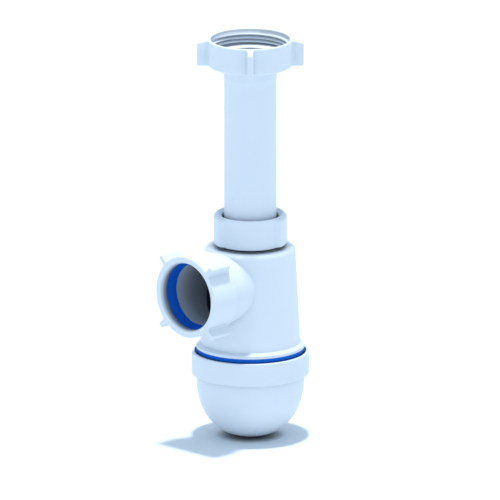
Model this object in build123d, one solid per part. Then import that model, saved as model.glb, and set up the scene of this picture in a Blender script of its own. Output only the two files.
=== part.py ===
from build123d import *
from math import cos, radians, sin
import os

# Bottle trap for a sink waste: 1 1/2 inch winged union nut on top, a sliding 32 mm inlet tube,
# a bottle with a side outlet for 40 mm pipe, and a screwed cup below.
# Millimetres. The origin is the centre of the sealing face where the sink waste seats, +Z is up,
# and the outlet leaves along -X.

# Inlet union nut
waste_thread_r = 23.9
thread_clearance = 0.05
thread_height = 1.45
hidden_thread_clearance = 0.15
inlet_nut_r = 26.0
inlet_thread_depth = 9.8
inlet_lip_thickness = 2.1
inlet_wing_reach = 32.65
inlet_wing_root_drop = 0.6
inlet_wing_tip_drop = 3.0
nut_mouth_bevel = 0.8
nut_edge_bevel = 1.0

# Wings, shared by the two winged nuts
wing_count = 4
wing_thickness = 3.8
wing_corner_r = 1.4
first_wing_angle = 45.0

# Flat washer and inlet tube
washer_thickness = 2.4
washer_gap = 0.35
recess_rise = 0.2
pipe_r = 16.0
tube_wall = 1.8
tube_length = 220.0
tube_end_bevel = 1.2
flange_thickness = 2.6
collar_step = 0.3
collar_length = 12.0
collar_taper = 2.0
collar_clearance = 0.3

# Sliding joint: neck, conical seal and compression nut
tube_insert = 116.0
neck_root_r = 18.6
neck_thread_height = 0.9
neck_clearance = 0.4
neck_lead_in = 1.0
seal_cone_length = 6.0
seal_cone_taper = 1.0
seal_slit = 0.05
seal_thickness = 1.85
seal_rim_thickness = 2.1
compression_nut_r = 21.15
compression_nut_height = 18.8
compression_cover = 4.1
compression_hole_r = 17.4
compression_funnel_r = 20.0
compression_funnel_depth = 1.5
compression_top_r = 1.1
grip_reach = 22.4
grip_corner_reach = 18.8
grip_half_width = 13.9
grip_drop = 0.9
grip_top_bevel = 1.6
grip_angle = 135.0

# Bottle body
neck_height = 14.4
shoulder_r = 27.45
shoulder_round = 2.8
body_foot_r = 30.5
body_wall = 1.9
body_height = 77.8
skirt_length = 14.6
skirt_end_gap = 1.0
skirt_root_r = 30.6
skirt_thread_height = 0.9
body_flange_thickness = 1.7
flange_fillet = 1.5

# Side outlet
outlet_drop = 36.8
branch_r = 22.3
branch_root_r = 21.4
branch_length = 49.6
branch_cover_overlap = 1.0
pipe_40_r = 20.0
socket_clearance = 0.2
outlet_cone_length = 5.4
outlet_cone_mouth = 0.5
outlet_seal_rim = 1.4
outlet_seal_front_r = 20.85
outlet_seal_lip_r = 19.0
outlet_seal_length = 6.2
outlet_nut_r = 25.3
outlet_nut_height = 19.6
outlet_nut_cover = 5.1
outlet_throat_length = 2.7
outlet_funnel_r = 22.2
outlet_face_bevel = 0.5
outlet_wing_reach = 31.3
outlet_wing_root_drop = 1.0
outlet_wing_tip_drop = 4.1

# Cup and its gasket
cup_gasket_thickness = 3.3
cup_gasket_width = 1.5
cup_lip_height = 0.8
cup_lip_gap = 0.9
cup_height = 53.6
cup_rim_r = 35.9
cup_rim_height = 14.2
cup_rim_bevel = 0.3
cup_wall = 2.3
bowl_r = 32.9
bowl_curve_height = 38.0
bowl_fullness = 2.3
bowl_tangent = 1.2
cup_rim_undercut = 0.3

# Sizes that follow from the ones above
inlet_bore_r = waste_thread_r + thread_clearance
washer_r = waste_thread_r - thread_height - washer_gap
tube_flange_top = -washer_thickness
inlet_lip_top = tube_flange_top - flange_thickness
inlet_nut_bottom = inlet_lip_top - inlet_lip_thickness
inlet_nut_height = inlet_thread_depth - inlet_nut_bottom
collar_r = pipe_r + collar_step
tube_end = tube_flange_top - tube_length
neck_top = tube_end + tube_insert
seal_rim_top = neck_top + seal_rim_thickness
compression_nut_top = seal_rim_top + compression_cover
compression_bore_r = neck_root_r + neck_thread_height + hidden_thread_clearance
shoulder_z = neck_top - neck_height
gasket_seat = neck_top - body_height
cup_seat = gasket_seat - cup_gasket_thickness
cup_top = cup_seat + cup_lip_height
cup_bottom = cup_top - cup_height
outlet_z = neck_top - outlet_drop
socket_r = pipe_40_r + socket_clearance
outlet_bore_r = branch_r + hidden_thread_clearance
cup_bore_r = skirt_root_r + skirt_thread_height + hidden_thread_clearance
body_flange_r = cup_bore_r + cup_gasket_width
outlet_face = branch_length + outlet_seal_rim + outlet_nut_cover


def turned(corners):
    """Solid of revolution about Z, from (radius, height) corners."""
    return revolve(make_face(Plane.XZ * Polyline(*corners, close=True)), Axis.Z)


def to_outlet(shape):
    """Turn a solid whose +Z is the way out of the outlet, and put it on the outlet's axis."""
    return Location((0, 0, outlet_z), (0, -90, 0)) * shape


def wing(ring_r, reach, height, root_drop, tip_drop, angle):
    """One wing: a plate that slopes down towards its tip at the nut's mouth, with round corners."""
    root = ring_r - wing_thickness / 2
    outline = make_face(Plane.XZ * Polyline(
        (root, 0), (reach, 0), (reach, height - tip_drop), (ring_r, height - root_drop),
        (root, height - root_drop), close=True))
    plate = extrude(fillet(outline.vertices().group_by(Axis.X)[-1], wing_corner_r), wing_thickness / 2, both=True)
    tip = plate.edges().filter_by(Axis.Z).group_by(Axis.X)[-1]
    return Rot(0, 0, angle) * fillet(tip, wing_corner_r)


def add_wings(ring, ring_r, reach, height, root_drop, tip_drop, first_angle):
    """The ring with its wings evenly round it."""
    for i in range(wing_count):
        angle = first_angle + i * 360 / wing_count
        ring += wing(ring_r, reach, height, root_drop, tip_drop, angle)
    return ring


def make_inlet_nut():
    """Union nut: a lip below that lifts the tube's flange, a washer recess and the thread's bore."""
    top = inlet_nut_height
    lip = inlet_lip_thickness
    recess_top = -inlet_nut_bottom + recess_rise
    hole_r = collar_r + collar_clearance
    recess_r = waste_thread_r - thread_height
    ring = turned([
        (hole_r, 0), (inlet_nut_r - nut_edge_bevel, 0), (inlet_nut_r, nut_edge_bevel),
        (inlet_nut_r, top - nut_edge_bevel / 2), (inlet_nut_r - nut_edge_bevel / 2, top),
        (inlet_bore_r + nut_mouth_bevel, top), (inlet_bore_r, top - nut_mouth_bevel),
        (inlet_bore_r, recess_top), (recess_r, recess_top), (recess_r, lip), (hole_r, lip)])
    nut = add_wings(ring, inlet_nut_r, inlet_wing_reach, top,
                    inlet_wing_root_drop, inlet_wing_tip_drop, first_wing_angle)
    return Pos(0, 0, inlet_nut_bottom) * nut


def make_inlet_washer():
    """Flat washer between the tube's flange and the sink waste."""
    return turned([(pipe_r, tube_flange_top), (washer_r, tube_flange_top), (washer_r, 0), (pipe_r, 0)])


def make_inlet_tube():
    """Flanged tube: a slightly thicker collar under the flange, and a plain end that dips into the cup."""
    inner_r = pipe_r - tube_wall
    collar_end = tube_flange_top - collar_length
    return turned([
        (inner_r, tube_end), (pipe_r - tube_end_bevel, tube_end), (pipe_r, tube_end + tube_end_bevel),
        (pipe_r, collar_end - collar_taper), (collar_r, collar_end), (collar_r, inlet_lip_top),
        (washer_r, inlet_lip_top), (washer_r, tube_flange_top), (inner_r, tube_flange_top)])


def make_compression_seal():
    """Conical ring that the compression nut presses into the neck and onto the tube."""
    inner_r = pipe_r + seal_slit
    top_r = inner_r + seal_thickness - seal_slit
    rim_r = neck_root_r + neck_thread_height / 2
    return turned([
        (inner_r, neck_top - seal_cone_length), (top_r - seal_cone_taper, neck_top - seal_cone_length),
        (top_r, neck_top), (rim_r, neck_top), (rim_r, seal_rim_top), (inner_r, seal_rim_top)])


def make_compression_nut():
    """Cap nut with a round top edge, a funnel round its hole and two broad grips on opposite sides."""
    bottom = compression_nut_top - compression_nut_height
    ring = Pos(0, 0, bottom) * Cylinder(
        compression_nut_r, compression_nut_height, align=(Align.CENTER, Align.CENTER, Align.MIN))
    ring = fillet(ring.edges().group_by(Axis.Z)[-1], compression_top_r)
    inner = (compression_nut_r + compression_bore_r) / 2
    for side in (0, 180):
        plan = make_face([
            ThreePointArc((grip_corner_reach, -grip_half_width), (grip_reach, 0), (grip_corner_reach, grip_half_width)),
            Polyline((grip_corner_reach, grip_half_width), (0, inner), (0, -inner),
                     (grip_corner_reach, -grip_half_width))])
        grip = extrude(plan, compression_nut_height - grip_drop)
        grip = chamfer(grip.faces().sort_by(Axis.Z)[-1].edges().filter_by(GeomType.CIRCLE), grip_top_bevel)
        ring += Pos(0, 0, bottom) * Rot(0, 0, grip_angle + side) * grip
    bore = Pos(0, 0, bottom) * Cylinder(
        compression_bore_r, compression_nut_height - compression_cover, align=(Align.CENTER, Align.CENTER, Align.MIN))
    hole = turned([
        (0, seal_rim_top), (compression_hole_r, seal_rim_top),
        (compression_hole_r, compression_nut_top - compression_funnel_depth),
        (compression_funnel_r, compression_nut_top), (0, compression_nut_top)])
    return ring - bore - hole


def make_bottle_body():
    """Neck, shoulder, tapered wall with the outlet branch, flange and threaded skirt, in one moulding."""
    foot_z = gasket_seat + body_flange_thickness + flange_fillet
    skirt_end = gasket_seat - skirt_length
    outer = turned([
        (0, neck_top), (neck_root_r, neck_top), (neck_root_r, shoulder_z), (shoulder_r, shoulder_z),
        (body_foot_r, foot_z), (body_foot_r, gasket_seat), (skirt_root_r, gasket_seat),
        (skirt_root_r, skirt_end), (0, skirt_end)])
    shoulder_edge = outer.edges().filter_by(GeomType.CIRCLE).group_by(Axis.Z)[-2].sort_by(SortBy.RADIUS)[-1]
    outer = fillet(shoulder_edge, shoulder_round)
    flange = turned([
        (0, gasket_seat), (body_flange_r, gasket_seat), (body_flange_r, gasket_seat + body_flange_thickness),
        (body_foot_r, foot_z), (0, foot_z)])
    branch = to_outlet(Cylinder(
        branch_r, outlet_face - outlet_nut_height + branch_cover_overlap,
        align=(Align.CENTER, Align.CENTER, Align.MIN)))
    spigot = to_outlet(Cylinder(branch_root_r, branch_length, align=(Align.CENTER, Align.CENTER, Align.MIN)))
    guide_r = pipe_r + neck_clearance
    seat_r = pipe_r + seal_thickness + seal_slit
    cavity = turned([
        (0, neck_top), (seat_r, neck_top), (seat_r - seal_cone_taper, neck_top - seal_cone_length),
        (guide_r, neck_top - seal_cone_length - neck_lead_in), (guide_r, shoulder_z - body_wall),
        (shoulder_r - body_wall, shoulder_z - body_wall - shoulder_round / 2),
        (skirt_root_r - body_wall, skirt_end), (0, skirt_end)])
    socket = turned([
        (0, shoulder_r / 2), (socket_r, shoulder_r / 2), (socket_r, branch_length - outlet_cone_length),
        (branch_root_r - outlet_cone_mouth, branch_length), (0, branch_length)])
    return outer + flange + branch + spigot - cavity - to_outlet(socket)


def make_outlet_seal():
    """Conical rubber ring in the branch's mouth, with a thin lip that grips the pipe."""
    front = branch_length + outlet_seal_rim
    lip = front - outlet_seal_length
    cone_r = branch_root_r - outlet_cone_mouth - seal_slit
    tip_r = socket_r - seal_slit
    return to_outlet(turned([
        (outlet_seal_lip_r, lip), (tip_r, branch_length - outlet_cone_length), (cone_r, branch_length),
        (branch_r - seal_slit, branch_length), (branch_r - seal_slit, front), (outlet_seal_front_r, front)]))


def make_outlet_nut():
    """Winged nut whose cover presses the seal, with a funnel that guides the pipe in."""
    top = outlet_nut_height
    throat_end = outlet_nut_cover - outlet_throat_length
    ring = turned([
        (outlet_seal_front_r, outlet_nut_cover), (outlet_seal_front_r, throat_end),
        (outlet_funnel_r, outlet_face_bevel), (outlet_funnel_r + outlet_face_bevel, 0),
        (outlet_nut_r - outlet_face_bevel, 0), (outlet_nut_r, outlet_face_bevel),
        (outlet_nut_r, top), (outlet_bore_r + nut_mouth_bevel, top), (outlet_bore_r, top - nut_mouth_bevel),
        (outlet_bore_r, outlet_nut_cover)])
    nut = add_wings(ring, outlet_nut_r, outlet_wing_reach, top,
                    outlet_wing_root_drop, outlet_wing_tip_drop, first_wing_angle)
    return to_outlet(Pos(0, 0, outlet_face) * Rot(180, 0, 0) * nut)


def make_cup_gasket():
    """Flat ring between the body's flange and the cup's rim."""
    return turned([
        (cup_bore_r, cup_seat), (body_flange_r, cup_seat), (body_flange_r, gasket_seat), (cup_bore_r, gasket_seat)])


def bowl_outline(top_r, height, bottom):
    """Half outline of the bowl: a spline from its brim to its lowest point, fuller than an ellipse."""
    share = cos(radians(45)) ** (2 / bowl_fullness)
    brim = bottom + height
    return Plane.XZ * Spline(
        (top_r, brim), (top_r * share, brim - height * share), (0, bottom),
        tangents=[(0, -1), (-1, 0)], tangent_scalars=[bowl_tangent, bowl_tangent])


def bowl(top_r, height, bottom, top):
    """Solid bowl of revolution up to a flat top."""
    outline = bowl_outline(top_r, height, bottom)
    sides = Plane.XZ * Polyline((0, bottom), (0, top), (top_r, top), (top_r, bottom + height))
    return revolve(make_face([outline, sides]), Axis.Z)


def make_cup():
    """Screwed cup: a plain threaded rim with a lip round the gasket, over a round bowl."""
    rim_bottom = cup_top - cup_rim_height
    rim = turned([
        (0, rim_bottom), (cup_rim_r - cup_rim_undercut, rim_bottom), (cup_rim_r, rim_bottom + cup_rim_undercut),
        (cup_rim_r, cup_top - cup_rim_bevel), (cup_rim_r - cup_rim_bevel, cup_top), (0, cup_top)])
    bore_end = gasket_seat - skirt_length - skirt_end_gap
    lip_r = body_flange_r + cup_lip_gap
    thread_bore = turned([
        (0, bore_end), (cup_bore_r, bore_end), (cup_bore_r, cup_seat), (lip_r, cup_seat), (lip_r, cup_top),
        (0, cup_top)])
    outside = bowl(bowl_r, bowl_curve_height, cup_bottom, cup_top - cup_rim_height / 2)
    inside = bowl(bowl_r - cup_wall, bowl_curve_height - cup_wall, cup_bottom + cup_wall, cup_top)
    return rim + outside - inside - thread_bore


parts = {
    "inlet_nut": make_inlet_nut(),
    "inlet_washer": make_inlet_washer(),
    "inlet_tube": make_inlet_tube(),
    "compression_seal": make_compression_seal(),
    "compression_nut": make_compression_nut(),
    "bottle_body": make_bottle_body(),
    "outlet_seal": make_outlet_seal(),
    "outlet_nut": make_outlet_nut(),
    "cup_gasket": make_cup_gasket(),
    "cup": make_cup(),
}

os.makedirs("parts", exist_ok=True)
for node, shape in parts.items():
    export_step(shape, f"parts/{node}.step")
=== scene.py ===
import math
import bmesh
import bpy
import numpy as np
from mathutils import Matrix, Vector


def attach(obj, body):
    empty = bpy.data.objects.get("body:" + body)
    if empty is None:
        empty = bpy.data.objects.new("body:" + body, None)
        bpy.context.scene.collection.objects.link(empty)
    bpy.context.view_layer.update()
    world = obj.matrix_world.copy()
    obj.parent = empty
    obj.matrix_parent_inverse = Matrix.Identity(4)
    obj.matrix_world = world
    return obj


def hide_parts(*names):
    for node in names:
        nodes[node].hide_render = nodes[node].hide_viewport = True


# Bottle trap for a sink waste: white moulded plastic with blue and black rubber seals.
# Lengths of the part and in its materials are in millimetres and go through MM. Floor, light and
# camera are placed in metres, and the noise scales count features per metre.
MM = 0.001
X, Y, Z = range(3)

# Levels and radii shared by several pieces
FOOT_Z = -240.3
OUTLET_Z = -143.2
UNION_R = 26.0
UNION_BORE = 23.95
CAP_R = 21.15
CAP_BORE = 19.65
OUTLET_R = 25.3
OUTLET_BORE = 22.45
CUP_BORE = 31.65

# Threads: pitches, depths, and the share of the pitch at full height
INLET_PITCH = 2.309
NUT_PITCH = 3.0
CUP_PITCH = 4.0
THREAD_DEPTH = 0.85
INLET_DEPTH = 1.2
THREAD_FLAT = 0.16

# Wings of both winged nuts
WING_COUNT = 4
WING_THICKNESS = 3.3
FIRST_WING = np.pi / 4

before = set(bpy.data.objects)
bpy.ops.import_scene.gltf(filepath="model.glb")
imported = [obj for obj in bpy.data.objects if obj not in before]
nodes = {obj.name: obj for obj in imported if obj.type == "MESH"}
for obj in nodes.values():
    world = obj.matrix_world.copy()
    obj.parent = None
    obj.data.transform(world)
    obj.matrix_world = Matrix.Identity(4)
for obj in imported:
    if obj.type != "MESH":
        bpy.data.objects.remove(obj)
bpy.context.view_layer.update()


# ---------------------------------------------------------------- shader maths

class Signal:
    """A socket in a material's node tree. Arithmetic on it adds Math nodes."""

    def __init__(self, tree, socket):
        self.tree = tree
        self.socket = socket

    def math(self, operation, *others):
        made = self.tree.nodes.new("ShaderNodeMath")
        made.operation = operation
        for slot, value in zip(made.inputs, (self,) + others):
            connect(self.tree, value, slot)
        return Signal(self.tree, made.outputs[0])

    def clipped(self):
        """The signal held between 0 and 1."""
        return self.math("MAXIMUM", 0.0).math("MINIMUM", 1.0)

    def __add__(self, other):
        return self.math("ADD", other)

    __radd__ = __add__

    def __mul__(self, other):
        return self.math("MULTIPLY", other)

    __rmul__ = __mul__

    def __sub__(self, other):
        return self.math("SUBTRACT", other)

    def __rsub__(self, other):
        return (self * -1.0) + other


def connect(tree, value, slot):
    """Link a signal into a socket, or set the socket's own value."""
    if isinstance(value, Signal):
        tree.links.new(value.socket, slot)
    else:
        slot.default_value = value


class Finish:
    """A material, with one method that adds any node and short ones for the common nodes."""

    def __init__(self, name):
        self.material = bpy.data.materials.new(name)
        self.material.use_nodes = True
        self.tree = self.material.node_tree
        self.tree.nodes.clear()

    def node(self, kind, settings=None, output=0, **sockets):
        """Add a node with its settings. A socket is given by its name, or by i and its number."""
        made = self.tree.nodes.new(kind)
        for key, value in (settings or {}).items():
            setattr(made, key, value)
        for key, value in sockets.items():
            by_number = key[0] == "i" and key[1:].isdigit()
            slot = made.inputs[int(key[1:]) if by_number else key.replace("_", " ")]
            connect(self.tree, value, slot)
        return Signal(self.tree, made.outputs[output]) if made.outputs else None

    def place(self):
        """Object coordinates of the shaded point, in metres."""
        return self.node("ShaderNodeTexCoord", output=3)

    def noise(self, scale, detail=2.0, roughness=0.5):
        return self.node("ShaderNodeTexNoise", Vector=self.place(), Scale=scale, Detail=detail,
                         Roughness=roughness)

    def air(self, reach, own=False):
        """Openness within a reach: 1 in the open, 0 where shut in, by own faces only if asked."""
        return self.node("ShaderNodeAmbientOcclusion", {"samples": 16, "only_local": own},
                         output=1, Distance=reach * MM)

    def mix(self, share, first, second):
        return self.node("ShaderNodeMix", {"data_type": "RGBA"}, output=2,
                         i0=share, i6=first, i7=second)

    def surface(self, **sockets):
        shader = self.node("ShaderNodeBsdfPrincipled", **sockets)
        self.node("ShaderNodeOutputMaterial", Surface=shader)
        return self.material


def darker(colour, share):
    """The colour with its three channels times share."""
    return tuple(share * value for value in colour[:3]) + (1.0,)


# ---------------------------------------------------------------- materials

WHITE = (0.70, 0.76, 0.82, 1.0)
WASHER_WHITE = (0.80, 0.86, 0.92, 1.0)
# Painted shade: the gap colour is the near black painted into narrow gaps and bores, and the
# shares below darken the colour where light is shut out
GAP_SHADE_BLACK = (0.004, 0.007, 0.010, 1.0)
GAP_START, GAP_SLOPE = 0.70, 6.0
HOLLOW_REACH, HOLLOW_START = 80.0, 0.06
CLOUD_SHARE, CREASE_SHADE_SHARE, SHUT_SHADE_SHARE = 0.965, 0.68, 0.12


def shaded_gaps(finish, colour, near_air, axis, bands, bore):
    """The colour, with painted shade nearly black in narrow gaps within the bands. A band is a
    range along the axis with a soft start and end. Where a bore is given by its centre's level and
    its radius, the painted shade darkens all that lies inside the bore instead of the gaps."""
    along = [finish.node("ShaderNodeSeparateXYZ", output=way, Vector=finish.place())
             for way in (X, Y, Z)]
    if bore is None:
        hidden = ((GAP_START - near_air) * GAP_SLOPE).clipped()
    else:
        centre, radius = bore
        other = along[X] if axis == Z else along[Z] - centre * MM
        hidden = (along[Y] * along[Y] + other * other).math("LESS_THAN", (radius * MM) ** 2)
    for low, high, soft in bands:
        rising = ((along[axis] - low * MM) * (1 / (soft * MM))).clipped()
        falling = ((high * MM - along[axis]) * (1 / (soft * MM))).clipped()
        colour = finish.mix(rising * falling * hidden, colour, GAP_SHADE_BLACK)
    return colour


def moulded_white(name, tint=WHITE, gloss=0.42, grain=0.5, depth=0.30, slope=1.8, reach=2.5,
                  axis=Z, bands=(), bore=None):
    """Injection-moulded plastic: a faint cloudiness in the colour, satin patches and a fine skin.
    Painted shade: the colour falls to depth times the tint in the piece's own recesses and
    hollows, at the given slope, and is a little deeper in creases within reach."""
    finish = Finish(name)
    cloud = finish.noise(38.0, 3.0)
    patch = finish.noise(160.0, 2.0, 0.6)
    skin = finish.noise(2600.0, 2.0, 0.55)
    wave = finish.noise(90.0, 1.0)
    # Painted shade: darker in the piece's own hollows and, within reach, in creases by its
    # neighbours
    open_share = ((finish.air(HOLLOW_REACH, own=True) - HOLLOW_START) * slope).clipped()
    near_air = finish.air(reach)
    colour = finish.mix(cloud, darker(tint, CLOUD_SHARE), tint)
    colour = finish.mix(near_air, darker(tint, CREASE_SHADE_SHARE), colour)
    colour = finish.mix(open_share, darker(tint, depth), colour)
    if bands:
        colour = shaded_gaps(finish, colour, near_air, axis, bands, bore)
    bump = finish.node("ShaderNodeBump", Height=skin * grain + wave * 0.5, Strength=0.10,
                       Distance=0.4 * MM)
    return finish.surface(Base_Color=colour, Roughness=gloss + patch * 0.10, Normal=bump,
                          Specular_IOR_Level=0.32)


def soft_rubber(name, dark, light):
    """Rubber: a matt bloom over a darker base, with a fine grain, and painted shade where its
    neighbours come close to it."""
    finish = Finish(name)
    bloom = finish.noise(120.0, 4.0, 0.6)
    grain = finish.noise(3200.0, 2.0, 0.6)
    colour = finish.mix(bloom, dark, light)
    # Painted shade where neighbouring parts close in
    colour = finish.mix(finish.air(3.0), darker(dark, SHUT_SHADE_SHARE), colour)
    bump = finish.node("ShaderNodeBump", Height=grain, Strength=0.2, Distance=0.2 * MM)
    return finish.surface(Base_Color=colour, Roughness=0.5 + bloom * 0.16, Normal=bump,
                          Specular_IOR_Level=0.08)


white = moulded_white("white plastic")
cap_white = moulded_white("white plastic compression nut", reach=6.0)
# Painted shade, near black: on the union nut's bore wall, darker towards its mouth
inlet_white = moulded_white("white plastic union nut", slope=2.2, bands=[(6.7, 20.0, 7.0)],
                            bore=(0.0, 24.4))
# Painted shade, near black: on the neck in the gap under the compression nut, and in the groove
# between the cup's lip and the gasket
body_white = moulded_white("white plastic bottle", gloss=0.40, grain=0.35, depth=0.07, slope=2.0,
                           reach=4.0, bands=[(-121.1, 0.0, 1.0), (-187.8, -186.85, 0.01)])
tube_white = moulded_white("white plastic tube", gloss=0.40, grain=0.35, depth=0.22)
# Painted shade, near black: in the outlet nut's throat, darker going in from the mouth
outlet_white = moulded_white("white plastic outlet nut", axis=X, bands=[(-56.0, -40.0, 6.1)],
                             bore=(OUTLET_Z, 21.9))
# Painted shade, near black: inside the washer's hole
washer_white = moulded_white("washer plastic", WASHER_WHITE, gloss=0.5, grain=1.0,
                             bands=[(-10.0, -0.2, 1.0)], bore=(0.0, 16.6))
blue = soft_rubber("blue rubber", (0.002, 0.10, 0.50, 1.0), (0.008, 0.17, 0.80, 1.0))
# A darker copy of the blue rubber: painted shade for the outlet seal deep in the nut's throat
shaded_seal_blue = soft_rubber("blue rubber of the outlet seal in painted shade", (0.001, 0.070, 0.40, 1.0),
                        (0.005, 0.120, 0.64, 1.0))
# Black rubber for the neck seal; its black also paints the shade in the narrow gap round the tube
black_rubber_and_gap_shade = soft_rubber("black rubber", (0.004, 0.005, 0.008, 1.0), (0.012, 0.015, 0.02, 1.0))


# ---------------------------------------------------------------- outlines and meshes

def rounded(corners, steps=5):
    """Closed outline from (radius, height, edge radius) corners: each corner becomes a short
    quadratic curve that starts and ends its edge radius away along the two sides."""
    corners = np.array(corners, float)
    pts, soft = corners[:, :2], corners[:, 2]
    before = np.roll(pts, 1, 0) - pts
    after = np.roll(pts, -1, 0) - pts
    length_before = np.linalg.norm(before, axis=1)
    length_after = np.linalg.norm(after, axis=1)
    reach = np.minimum(soft, 0.49 * np.minimum(length_before, length_after))[:, None]
    start = pts + before / np.maximum(length_before, 1e-9)[:, None] * reach
    end = pts + after / np.maximum(length_after, 1e-9)[:, None] * reach
    t = np.linspace(0.0, 1.0, steps)[None, :, None]
    curve = (1 - t) ** 2 * start[:, None] + 2 * t * (1 - t) * pts[:, None] + t ** 2 * end[:, None]
    return np.concatenate([run[:1] if edge < 1e-9 else run for run, edge in zip(curve, soft)])


def wall(radius, start, end, step):
    """A straight wall as an open outline: levels evenly from start to end, no step wider than
    the one given."""
    count = max(1, math.ceil(abs(end - start) / step))
    levels = start * (1 - np.arange(count) / count) + end * (np.arange(count) / count)
    levels = np.append(levels, end)
    return np.stack([np.full(count + 1, radius), levels], -1)


def bowl(top_r, height, bottom, count=48):
    """Half outline of the bowl from its pole up to its brim, a superellipse of exponent 2.3. The
    radius is top_r times the sine of the running angle to the power 2 / 2.3. The level climbs
    from bottom by height times one less the cosine to that power."""
    power = 2 / 2.3
    a = np.linspace(0.0, np.pi / 2, count)
    return np.stack([top_r * np.sin(a) ** power, bottom + height * (1 - np.cos(a) ** power)], -1)


def around(count):
    """Equal angles round a full turn."""
    return np.arange(count) * 2 * np.pi / count


def turn(outline, theta, relief=None):
    """Surface of revolution about Z: each outline point at each angle, with the radius changed by
    relief(theta, radius, height) where one is given."""
    r = np.broadcast_to(outline[None, :, 0], (len(theta), len(outline))).copy()
    z = np.broadcast_to(outline[None, :, 1], r.shape).copy()
    t = np.broadcast_to(theta[:, None], r.shape)
    if relief is not None:
        r = relief(t, r, z)
    return np.stack([r * np.cos(t), r * np.sin(t), z], -1)


def to_outlet(points):
    """Points whose +Z is the way out of the outlet, turned onto the outlet's axis along -X."""
    return np.stack([-points[..., Z], points[..., Y], points[..., X] + OUTLET_Z], -1)


def grid_quads(n, m, closed_u, closed_v):
    """Corner numbers of the quads between neighbours in a grid of n rows of m points."""
    i, j = np.meshgrid(np.arange(n if closed_u else n - 1), np.arange(m if closed_v else m - 1),
                       indexing="ij")
    i2, j2 = (i + 1) % n, (j + 1) % m
    return np.stack([i * m + j, i2 * m + j, i2 * m + j2, i * m + j2], -1).reshape(-1, 4)


def merge(mesh):
    """Merge doubles, so that seams and poles are closed."""
    work = bmesh.new()
    work.from_mesh(mesh)
    bmesh.ops.remove_doubles(work, verts=work.verts, dist=2e-6)
    bmesh.ops.dissolve_degenerate(work, edges=work.edges, dist=1e-7)
    work.to_mesh(mesh)
    work.free()


def face_outward(mesh, fill_ends=False):
    """Turn all faces outward, after closing the open ends where that is asked for."""
    work = bmesh.new()
    work.from_mesh(mesh)
    if fill_ends:
        bmesh.ops.holes_fill(work, edges=[e for e in work.edges if e.is_boundary], sides=8)
    bmesh.ops.recalc_face_normals(work, faces=work.faces)
    work.to_mesh(mesh)
    work.free()


def new_object(name, data):
    """An object at the origin, in the scene."""
    made = bpy.data.objects.new(name, data)
    bpy.context.scene.collection.objects.link(made)
    return made


def piece(name, mesh, body, material, angle=38.0):
    """An object at the origin that rides on a body, shaded smooth up to an angle."""
    made = new_object(name, mesh)
    mesh.polygons.foreach_set("use_smooth", np.ones(len(mesh.polygons), bool))
    mesh.set_sharp_from_angle(angle=math.radians(angle))
    mesh.materials.append(material)
    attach(made, body)
    return made


def surface_object(name, grid, closed_u, closed_v, body, material):
    """A piece from a grid of points, with quads between neighbours in both directions."""
    n, m = grid.shape[:2]
    mesh = bpy.data.meshes.new(name)
    mesh.from_pydata(grid.reshape(-1, 3) * MM, [], grid_quads(n, m, closed_u, closed_v).tolist())
    merge(mesh)
    return piece(name, mesh, body, material)


def turned(name, outline, body, material, count=256, relief=None, place=None, closed=True):
    """A piece turned about Z from an outline, closed or from pole to pole, and then moved by
    place where one is given."""
    grid = turn(outline, around(count), relief)
    return surface_object(name, grid if place is None else place(grid), True, closed, body,
                          material)


# ---------------------------------------------------------------- threads and wings

def smooth_step(x):
    """Three times x squared less twice x cubed, with x held between 0 and 1."""
    x = np.clip(x, 0.0, 1.0)
    return x * x * (3 - 2 * x)


def thread_height(theta, z, pitch, crest_z, first, last, crest_angle=0.0):
    """Height of a screw thread at an angle and a level, from 0 to 1: one less twice the distance
    from the nearest crest in pitches, over one less THREAD_FLAT, held between 0 and 1. The crest
    climbs one pitch per turn through crest_z at crest_angle. The ridge fades out within a sixth
    of a turn at the levels first and last of its crest."""
    turns = (z - crest_z) / pitch - (theta - crest_angle) / (2 * np.pi)
    nearest = np.round(turns)
    off = np.abs(turns - nearest) * 2
    level = crest_z + pitch * (nearest + (theta - crest_angle) / (2 * np.pi))
    run = pitch / 6
    ends = smooth_step((level - first) / run) * smooth_step((last - level) / run)
    return np.clip((1.0 - off) / (1.0 - THREAD_FLAT), 0.0, 1.0) * ends


def on_wall(r, radius):
    """Whether a radius is a wall's radius, within 0.02."""
    return np.abs(r - radius) < 0.02


def raised(r, at_wall, depth, height):
    """Radii with a thread raised on a bore's wall: there the radius less depth times height."""
    return np.where(at_wall, r - depth * height, r)


def helical_ridge(name, root_r, pitch, crest_z, first, last, base, top, outward=None):
    """An outside thread on the bottle: a trapezoid, base wide at the root and top wide at the
    crest, carried along a helix from level first to level last. Over fade radians at both ends
    it is lowered into the wall and narrowed to end_width times its width."""
    steps_per_turn, fade, end_width = 96, 0.7, 0.4
    sunk, sunk_wider = 0.25, 0.05
    start = (first - crest_z) / pitch * 2 * np.pi
    end = (last - crest_z) / pitch * 2 * np.pi
    phi = np.linspace(start, end, int((end - start) / (2 * np.pi) * steps_per_turn))
    z = crest_z + pitch * phi / (2 * np.pi)
    share = smooth_step((phi - start) / fade) * smooth_step((end - phi) / fade)
    across = np.array([[-sunk, -base / 2 - sunk_wider], [0.0, -base / 2],
                       [THREAD_DEPTH, -top / 2], [THREAD_DEPTH, top / 2],
                       [0.0, base / 2], [-sunk, base / 2 + sunk_wider]])
    rise = across[None, :, 0]
    r = root_r - 0.02 + rise * np.where(rise > 0, share[:, None], 1.0)
    level = z[:, None] + across[None, :, 1] * (end_width + (1 - end_width) * share[:, None])
    grid = np.stack([r * np.cos(phi)[:, None], r * np.sin(phi)[:, None], level], -1)
    made = surface_object(name, grid if outward is None else outward(grid), False, True, "bottle",
                          body_white)
    face_outward(made.data, fill_ends=True)
    return made


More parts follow.
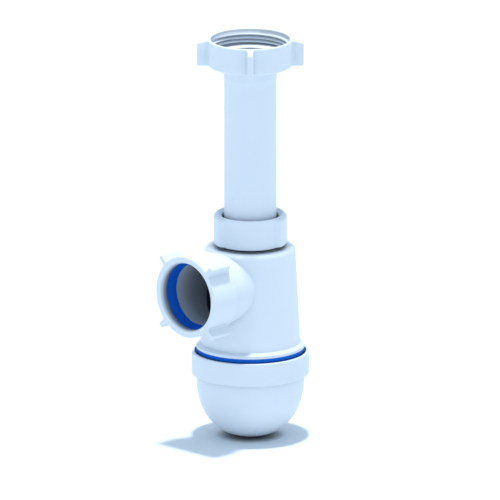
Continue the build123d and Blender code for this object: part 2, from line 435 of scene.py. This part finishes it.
def wings(name, ring_r, tip_r, low, high, root_drop, tip_drop, body, place=None):
    """Plate-like wings round a nut. Each is a loft of rounded-rectangle sections along its radius.
    The upper edge slopes down evenly to the tip, the sections past the straight share shrink
    along a quarter circle, and within root_length of the ring the half width grows by the square
    of the share of that length still to go."""
    sections, points, straight = 34, 40, 0.62
    sunk, root_length, root_widening = 1.6, 1.1, 0.9
    corner = WING_THICKNESS * 0.25
    s = np.linspace(0.0, 1.0, sections)
    inner = ring_r - sunk
    blend = np.clip((s - straight) / (1 - straight), 0.0, 1.0)
    radius = (inner + (tip_r - corner - inner) * np.minimum(s / straight, 1.0)
              + corner * np.sin(blend * np.pi / 2))
    shrink = corner * (1 - np.cos(blend * np.pi / 2))
    climb = np.clip((radius - ring_r) / (tip_r - ring_r), 0.0, 1.0)
    top = high - root_drop - (tip_drop - root_drop) * climb - shrink
    bottom = low + shrink
    root = np.clip(1.0 - (radius - ring_r) / root_length, 0.0, 1.0) ** 2 * root_widening
    half = WING_THICKNESS / 2 - shrink + root
    a = around(points)[None, :]
    fillet = np.minimum(corner, half * 0.98)[:, None]
    side = np.sign(np.cos(a)) * (half[:, None] - fillet) + np.cos(a) * fillet
    mid, tall = (top + bottom)[:, None] / 2, (top - bottom)[:, None] / 2
    level = mid + np.sign(np.sin(a)) * (tall - fillet) + np.sin(a) * fillet
    rad = np.broadcast_to(radius[:, None], side.shape)
    n, m = side.shape
    quads = grid_quads(n, m, False, True)
    verts, faces = [], []
    for k in range(WING_COUNT):
        turned_by = FIRST_WING + k * 2 * np.pi / WING_COUNT
        grid = np.stack([rad * np.cos(turned_by) - side * np.sin(turned_by),
                         rad * np.sin(turned_by) + side * np.cos(turned_by), level], -1)
        base = k * n * m
        verts.append((grid if place is None else place(grid)).reshape(-1, 3))
        faces += (quads + base).tolist()
        faces.append([base + q for q in range(m)])
        faces.append([base + (n - 1) * m + q for q in range(m)])
    mesh = bpy.data.meshes.new(name)
    mesh.from_pydata(np.concatenate(verts) * MM, [], faces)
    merge(mesh)
    face_outward(mesh)
    return piece(name, mesh, body, white)


# ---------------------------------------------------------------- inlet

def inlet_bore(theta, r, z):
    """The G 1 1/2 thread in the union nut, cut from the mouth down to just above the washer."""
    height = thread_height(theta, z, INLET_PITCH, 6.5, 0.9, 7.1, FIRST_WING)
    return raised(r, on_wall(r, UNION_BORE) & (z > 0.3), INLET_DEPTH, height)


ring = np.concatenate([
    rounded([(16.6, -7.1, 0.3), (25.0, -7.1, 0.5), (UNION_R, -6.1, 0.5), (UNION_R, 9.3, 0.4),
             (25.5, 9.8, 0.4), (24.6, 9.8, 0.25), (UNION_BORE, 9.3, 0.15),
             (UNION_BORE, 7.2, 0.0)]),
    wall(UNION_BORE, 7.1, 0.4, 0.11),
    rounded([(UNION_BORE, 0.2, 0.0), (22.45, 0.2, 0.0), (22.45, -5.0, 0.2), (16.6, -5.0, 0.0)])])
union_ring = turned("union_nut_ring", ring, "inlet_nut", inlet_white, 384, inlet_bore)
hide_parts("inlet_nut")
union_wings = wings("union_nut_wings", UNION_R, 32.65, -7.1, 9.8, 0.6, 2.5, "inlet_nut")

washer = turned("inlet_washer_ring", rounded(
    [(16.0, -2.4, 0.2), (22.1, -2.4, 0.2), (22.1, 0.0, 0.35), (16.5, 0.0, 0.15)]),
    "tube", washer_white)
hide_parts("inlet_washer")

tube = turned("dip_tube", rounded(
    [(14.2, -222.4, 0.3), (14.8, -222.4, 0.3), (16.0, -221.2, 0.6), (16.0, -16.4, 0.6),
     (16.3, -14.4, 0.6), (16.3, -5.0, 0.3), (22.1, -5.0, 0.3), (22.1, -2.4, 0.3),
     (14.2, -2.4, 0.3)]), "tube", tube_white)
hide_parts("inlet_tube")


# ---------------------------------------------------------------- neck

seal = turned("neck_seal", rounded(
    [(16.05, -112.4, 0.2), (16.85, -112.4, 0.2), (17.85, -106.4, 0.0), (19.05, -106.4, 0.2),
     (19.05, -104.3, 0.2), (16.05, -104.3, 0.3)]), "compression_seal", black_rubber_and_gap_shade)
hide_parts("compression_seal")

# The compression nut's first grip: the way it faces, its radius in the middle, its corner along
# and across that way, the corner's angle, and its straight side's distance from the axis, the way
# that side faces and the angle where it has run into the circle
GRIP_WAY = math.radians(135.0)
GRIP_MIDDLE = 22.4
GRIP_CORNER = (18.8, 13.9)
GRIP_CORNER_ANGLE = math.radians(36.48)
GRIP_SIDE = 19.27
GRIP_SIDE_WAY = math.radians(70.9)
GRIP_END = math.radians(70.0)


def grip_radius(theta):
    """Radius of the compression nut's plan: a circle with two broad grips on opposite sides. Each
    is a shallow arc through its corners, whose own radius is the square of half the chord plus
    the square of the sag, over twice the sag. Beyond the corners a straight side runs into the
    circle: its distance over the cosine of the angle from the way it faces."""
    turned_by = (theta - GRIP_WAY + np.pi / 2) % np.pi - np.pi / 2
    away = np.abs(turned_by)
    side = GRIP_SIDE / np.cos(np.minimum(np.abs(away - GRIP_SIDE_WAY), 1.2))
    x, y = GRIP_CORNER
    sag = GRIP_MIDDLE - x
    bow = (y * y + sag * sag) / (2 * sag)
    centre = GRIP_MIDDLE - bow
    face = (centre * np.cos(turned_by)
            + np.sqrt(bow ** 2 - (centre * np.sin(turned_by)) ** 2))
    grip = np.where(away < GRIP_CORNER_ANGLE, face, side)
    return np.maximum(np.where(away < GRIP_END, grip, 0.0), CAP_R)


def compression_shape(theta, r, z):
    """The grips outside and the thread inside the compression nut. What the grips add to the
    circle fades out along a quarter circle below the nut's shoulder and along another at its
    lower edge."""
    level = np.clip((-101.1 - z) / 1.6, 0.0, 1.0)
    foot = np.clip((z + 118.85) / 0.9, 0.0, 1.0)
    extra = (grip_radius(theta) - CAP_R) * np.sqrt(level * (2 - level))
    out = np.where(r > 20.9, r + extra * np.sqrt(foot * (2 - foot)), r)
    height = thread_height(theta, z, NUT_PITCH, -112.0, -118.2, -106.0)
    return raised(out, on_wall(r, CAP_BORE) & (z < -104.4), THREAD_DEPTH, height)


shell = np.concatenate([
    rounded([(20.45, -118.85, 0.3), (CAP_R, -118.85, 0.25)]),
    wall(CAP_R, -118.3, -101.6, 0.3),
    rounded([(CAP_R, -100.2, 1.1), (20.0, -100.2, 0.3), (17.4, -101.7, 0.35), (17.4, -104.3, 0.1),
             (CAP_BORE, -104.3, 0.0)], 9),
    wall(CAP_BORE, -104.5, -118.0, 0.2)])
cap = turned("compression_nut_shell", shell, "compression_nut", cap_white, 384, compression_shape)
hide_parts("compression_nut")


# ---------------------------------------------------------------- bottle

def joined_copy(node):
    """A CAD node's triangles as a new mesh with its doubles merged and no stored normals."""
    given = nodes[node].data
    points = np.zeros(len(given.vertices) * 3)
    given.vertices.foreach_get("co", points)
    corners = np.zeros(len(given.loops), np.int64)
    given.loops.foreach_get("vertex_index", corners)
    kept, index = np.unique(np.round(points.reshape(-1, 3), 7), axis=0, return_inverse=True)
    triangles = index.reshape(-1)[corners].reshape(-1, 3)
    a, b, c = triangles.T
    mesh = bpy.data.meshes.new(node)
    mesh.from_pydata(kept, [], triangles[(a != b) & (b != c) & (a != c)].tolist())
    merge(mesh)
    return mesh


bottle = piece("bottle", joined_copy("bottle_body"), "bottle", body_white, 30.0)
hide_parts("bottle_body")

neck_thread = helical_ridge("neck_thread", 18.6, NUT_PITCH, -110.5, -119.5, -107.2, 1.9, 0.6)
skirt_thread = helical_ridge("skirt_thread", 30.6, CUP_PITCH, -190.0, -197.6, -186.8, 2.2, 0.8)
branch_thread = helical_ridge("branch_thread", 21.4, NUT_PITCH, 43.6, 38.1, 48.4, 1.9, 0.6,
                              outward=to_outlet)


# ---------------------------------------------------------------- outlet

def outlet_bore(theta, r, z):
    """The thread in the outlet nut's bore."""
    height = thread_height(theta, z, NUT_PITCH, 42.1, 37.6, 48.1)
    return raised(r, on_wall(r, OUTLET_BORE) & (z < 50.8), THREAD_DEPTH, height)


ring = np.concatenate([
    rounded([(OUTLET_R, 36.5, 0.45), (OUTLET_R, 56.1, 0.45), (21.9, 56.1, 0.5),
             (20.85, 54.3, 0.3), (20.85, 51.0, 0.1), (OUTLET_BORE, 51.0, 0.0)]),
    wall(OUTLET_BORE, 50.7, 37.6, 0.2),
    rounded([(OUTLET_BORE, 37.3, 0.0), (23.25, 36.5, 0.3)])])
outlet_ring = turned("outlet_nut_ring", ring, "outlet_nut", outlet_white, 320, outlet_bore,
                     to_outlet)
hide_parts("outlet_nut")
# The wings' sloping edge is at the nut's inner end, so they are built upside down and mirrored
outlet_wings = wings("outlet_nut_wings", OUTLET_R, 31.3, -56.1, -36.5, 1.0, 3.6, "outlet_nut",
                     place=lambda points: to_outlet(points * np.array([1.0, 1.0, -1.0])))

outlet_seal = turned("outlet_seal_ring", rounded(
    [(19.0, 44.8, 0.1), (20.15, 44.2, 0.1), (20.85, 49.6, 0.0), (22.25, 49.6, 0.15),
     (22.25, 51.0, 0.15), (20.85, 51.0, 0.25)]), "outlet_seal", shaded_seal_blue, place=to_outlet)
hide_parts("outlet_seal")


# ---------------------------------------------------------------- cup and gasket

gasket = turned("cup_gasket_ring", rounded(
    [(31.65, -187.5, 0.2), (33.15, -187.5, 0.2), (33.15, -184.2, 0.2), (31.65, -184.2, 0.2)]),
    "cup_gasket", blue)
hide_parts("cup_gasket")


def cup_bore(theta, r, z):
    """The thread in the cup's bore."""
    height = thread_height(theta, z, CUP_PITCH, -192.0, -198.6, -188.4)
    return raised(r, on_wall(r, CUP_BORE) & (z > -199.6), THREAD_DEPTH, height)


cup_outline = np.concatenate([
    bowl(32.9, 38.0, FOOT_Z),
    rounded([(32.9, -200.9, 0.0), (35.6, -200.9, 0.2), (35.9, -200.6, 0.2), (35.9, -187.0, 0.2),
             (35.6, -186.7, 0.2), (34.05, -186.7, 0.25), (34.05, -187.5, 0.1),
             (CUP_BORE, -187.5, 0.2)]),
    wall(CUP_BORE, -188.1, -199.5, 0.2),
    rounded([(CUP_BORE, -199.8, 0.0), (30.6, -199.8, 0.0)]),
    bowl(30.6, 35.7, -238.0)[::-1]])
cup = turned("cup_shell", cup_outline, "cup", body_white, 320, cup_bore, closed=False)
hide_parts("cup")

cad_rubber = {"outlet_seal": blue, "cup_gasket": blue, "compression_seal": black_rubber_and_gap_shade}
for node, obj in nodes.items():
    obj.data.materials.clear()
    obj.data.materials.append(cad_rubber.get(node, white))


# ---------------------------------------------------------------- floor, light and camera

FLOOR_HALF = 6.0
floor_finish = Finish("floor")
floor_colour = floor_finish.mix(floor_finish.noise(30.0, 2.0), (0.69, 0.735, 0.77, 1.0),
                                (0.70, 0.745, 0.78, 1.0))
# Painted shadow: the floor's colour darkens where the trap stands close above it
floor_material = floor_finish.surface(
    Base_Color=floor_finish.mix(floor_finish.air(5.5), (0.18, 0.195, 0.205, 1.0), floor_colour),
    Roughness=0.9, Specular_IOR_Level=0.1)
floor_mesh = bpy.data.meshes.new("floor")
floor_mesh.from_pydata([(x * FLOOR_HALF, y * FLOOR_HALF, FOOT_Z * MM)
                        for x, y in ((-1, -1), (1, -1), (1, 1), (-1, 1))], [], [(0, 1, 2, 3)])
floor_mesh.materials.append(floor_material)
floor = new_object("floor", floor_mesh)
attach(floor, "cup_gasket")  # the trap stands on it at every height

world = bpy.data.worlds.new("studio")
world.use_nodes = True
bpy.context.scene.world = world
world.node_tree.nodes["Background"].inputs["Color"].default_value = (0.665, 0.808, 0.965, 1.0)
world.node_tree.nodes["Background"].inputs["Strength"].default_value = 1.035

# The key light shines from straight above onto the middle of the trap
sun = bpy.data.lights.new("key", "SUN")
sun.energy = 2.6
sun.color = (1.0, 0.98, 0.95)
sun.angle = math.radians(5)
key = new_object("key", sun)
key.location = (0.0, 0.0, 1.6)
key.rotation_euler = (Vector((0.0, 0.0, -0.12)) - key.location).to_track_quat("-Z", "Y").to_euler()

# The camera is parallel and looks down at the point in the middle of the picture's height
PICTURE_SIDE = 500
MM_PER_PIXEL = 0.6107
MIDDLE_ABOVE_FOOT = 116.5
AZIMUTH = math.radians(-45.0)
ELEVATION = math.radians(15.0)
DISTANCE = 2.0

lens = bpy.data.cameras.new("camera")
lens.type = "ORTHO"
lens.ortho_scale = PICTURE_SIDE * MM_PER_PIXEL * MM
lens.shift_x = -0.3 / PICTURE_SIDE
lens.clip_end = 100.0
camera = new_object("camera", lens)
away = Vector((math.sin(AZIMUTH) * math.cos(ELEVATION), -math.cos(AZIMUTH) * math.cos(ELEVATION),
               math.sin(ELEVATION)))
camera.location = Vector((0.0, 0.0, (FOOT_Z + MIDDLE_ABOVE_FOOT) * MM)) + away * DISTANCE
camera.rotation_euler = away.to_track_quat("Z", "Y").to_euler()
bpy.context.scene.camera = camera
bpy.context.scene.view_settings.view_transform = "Standard"
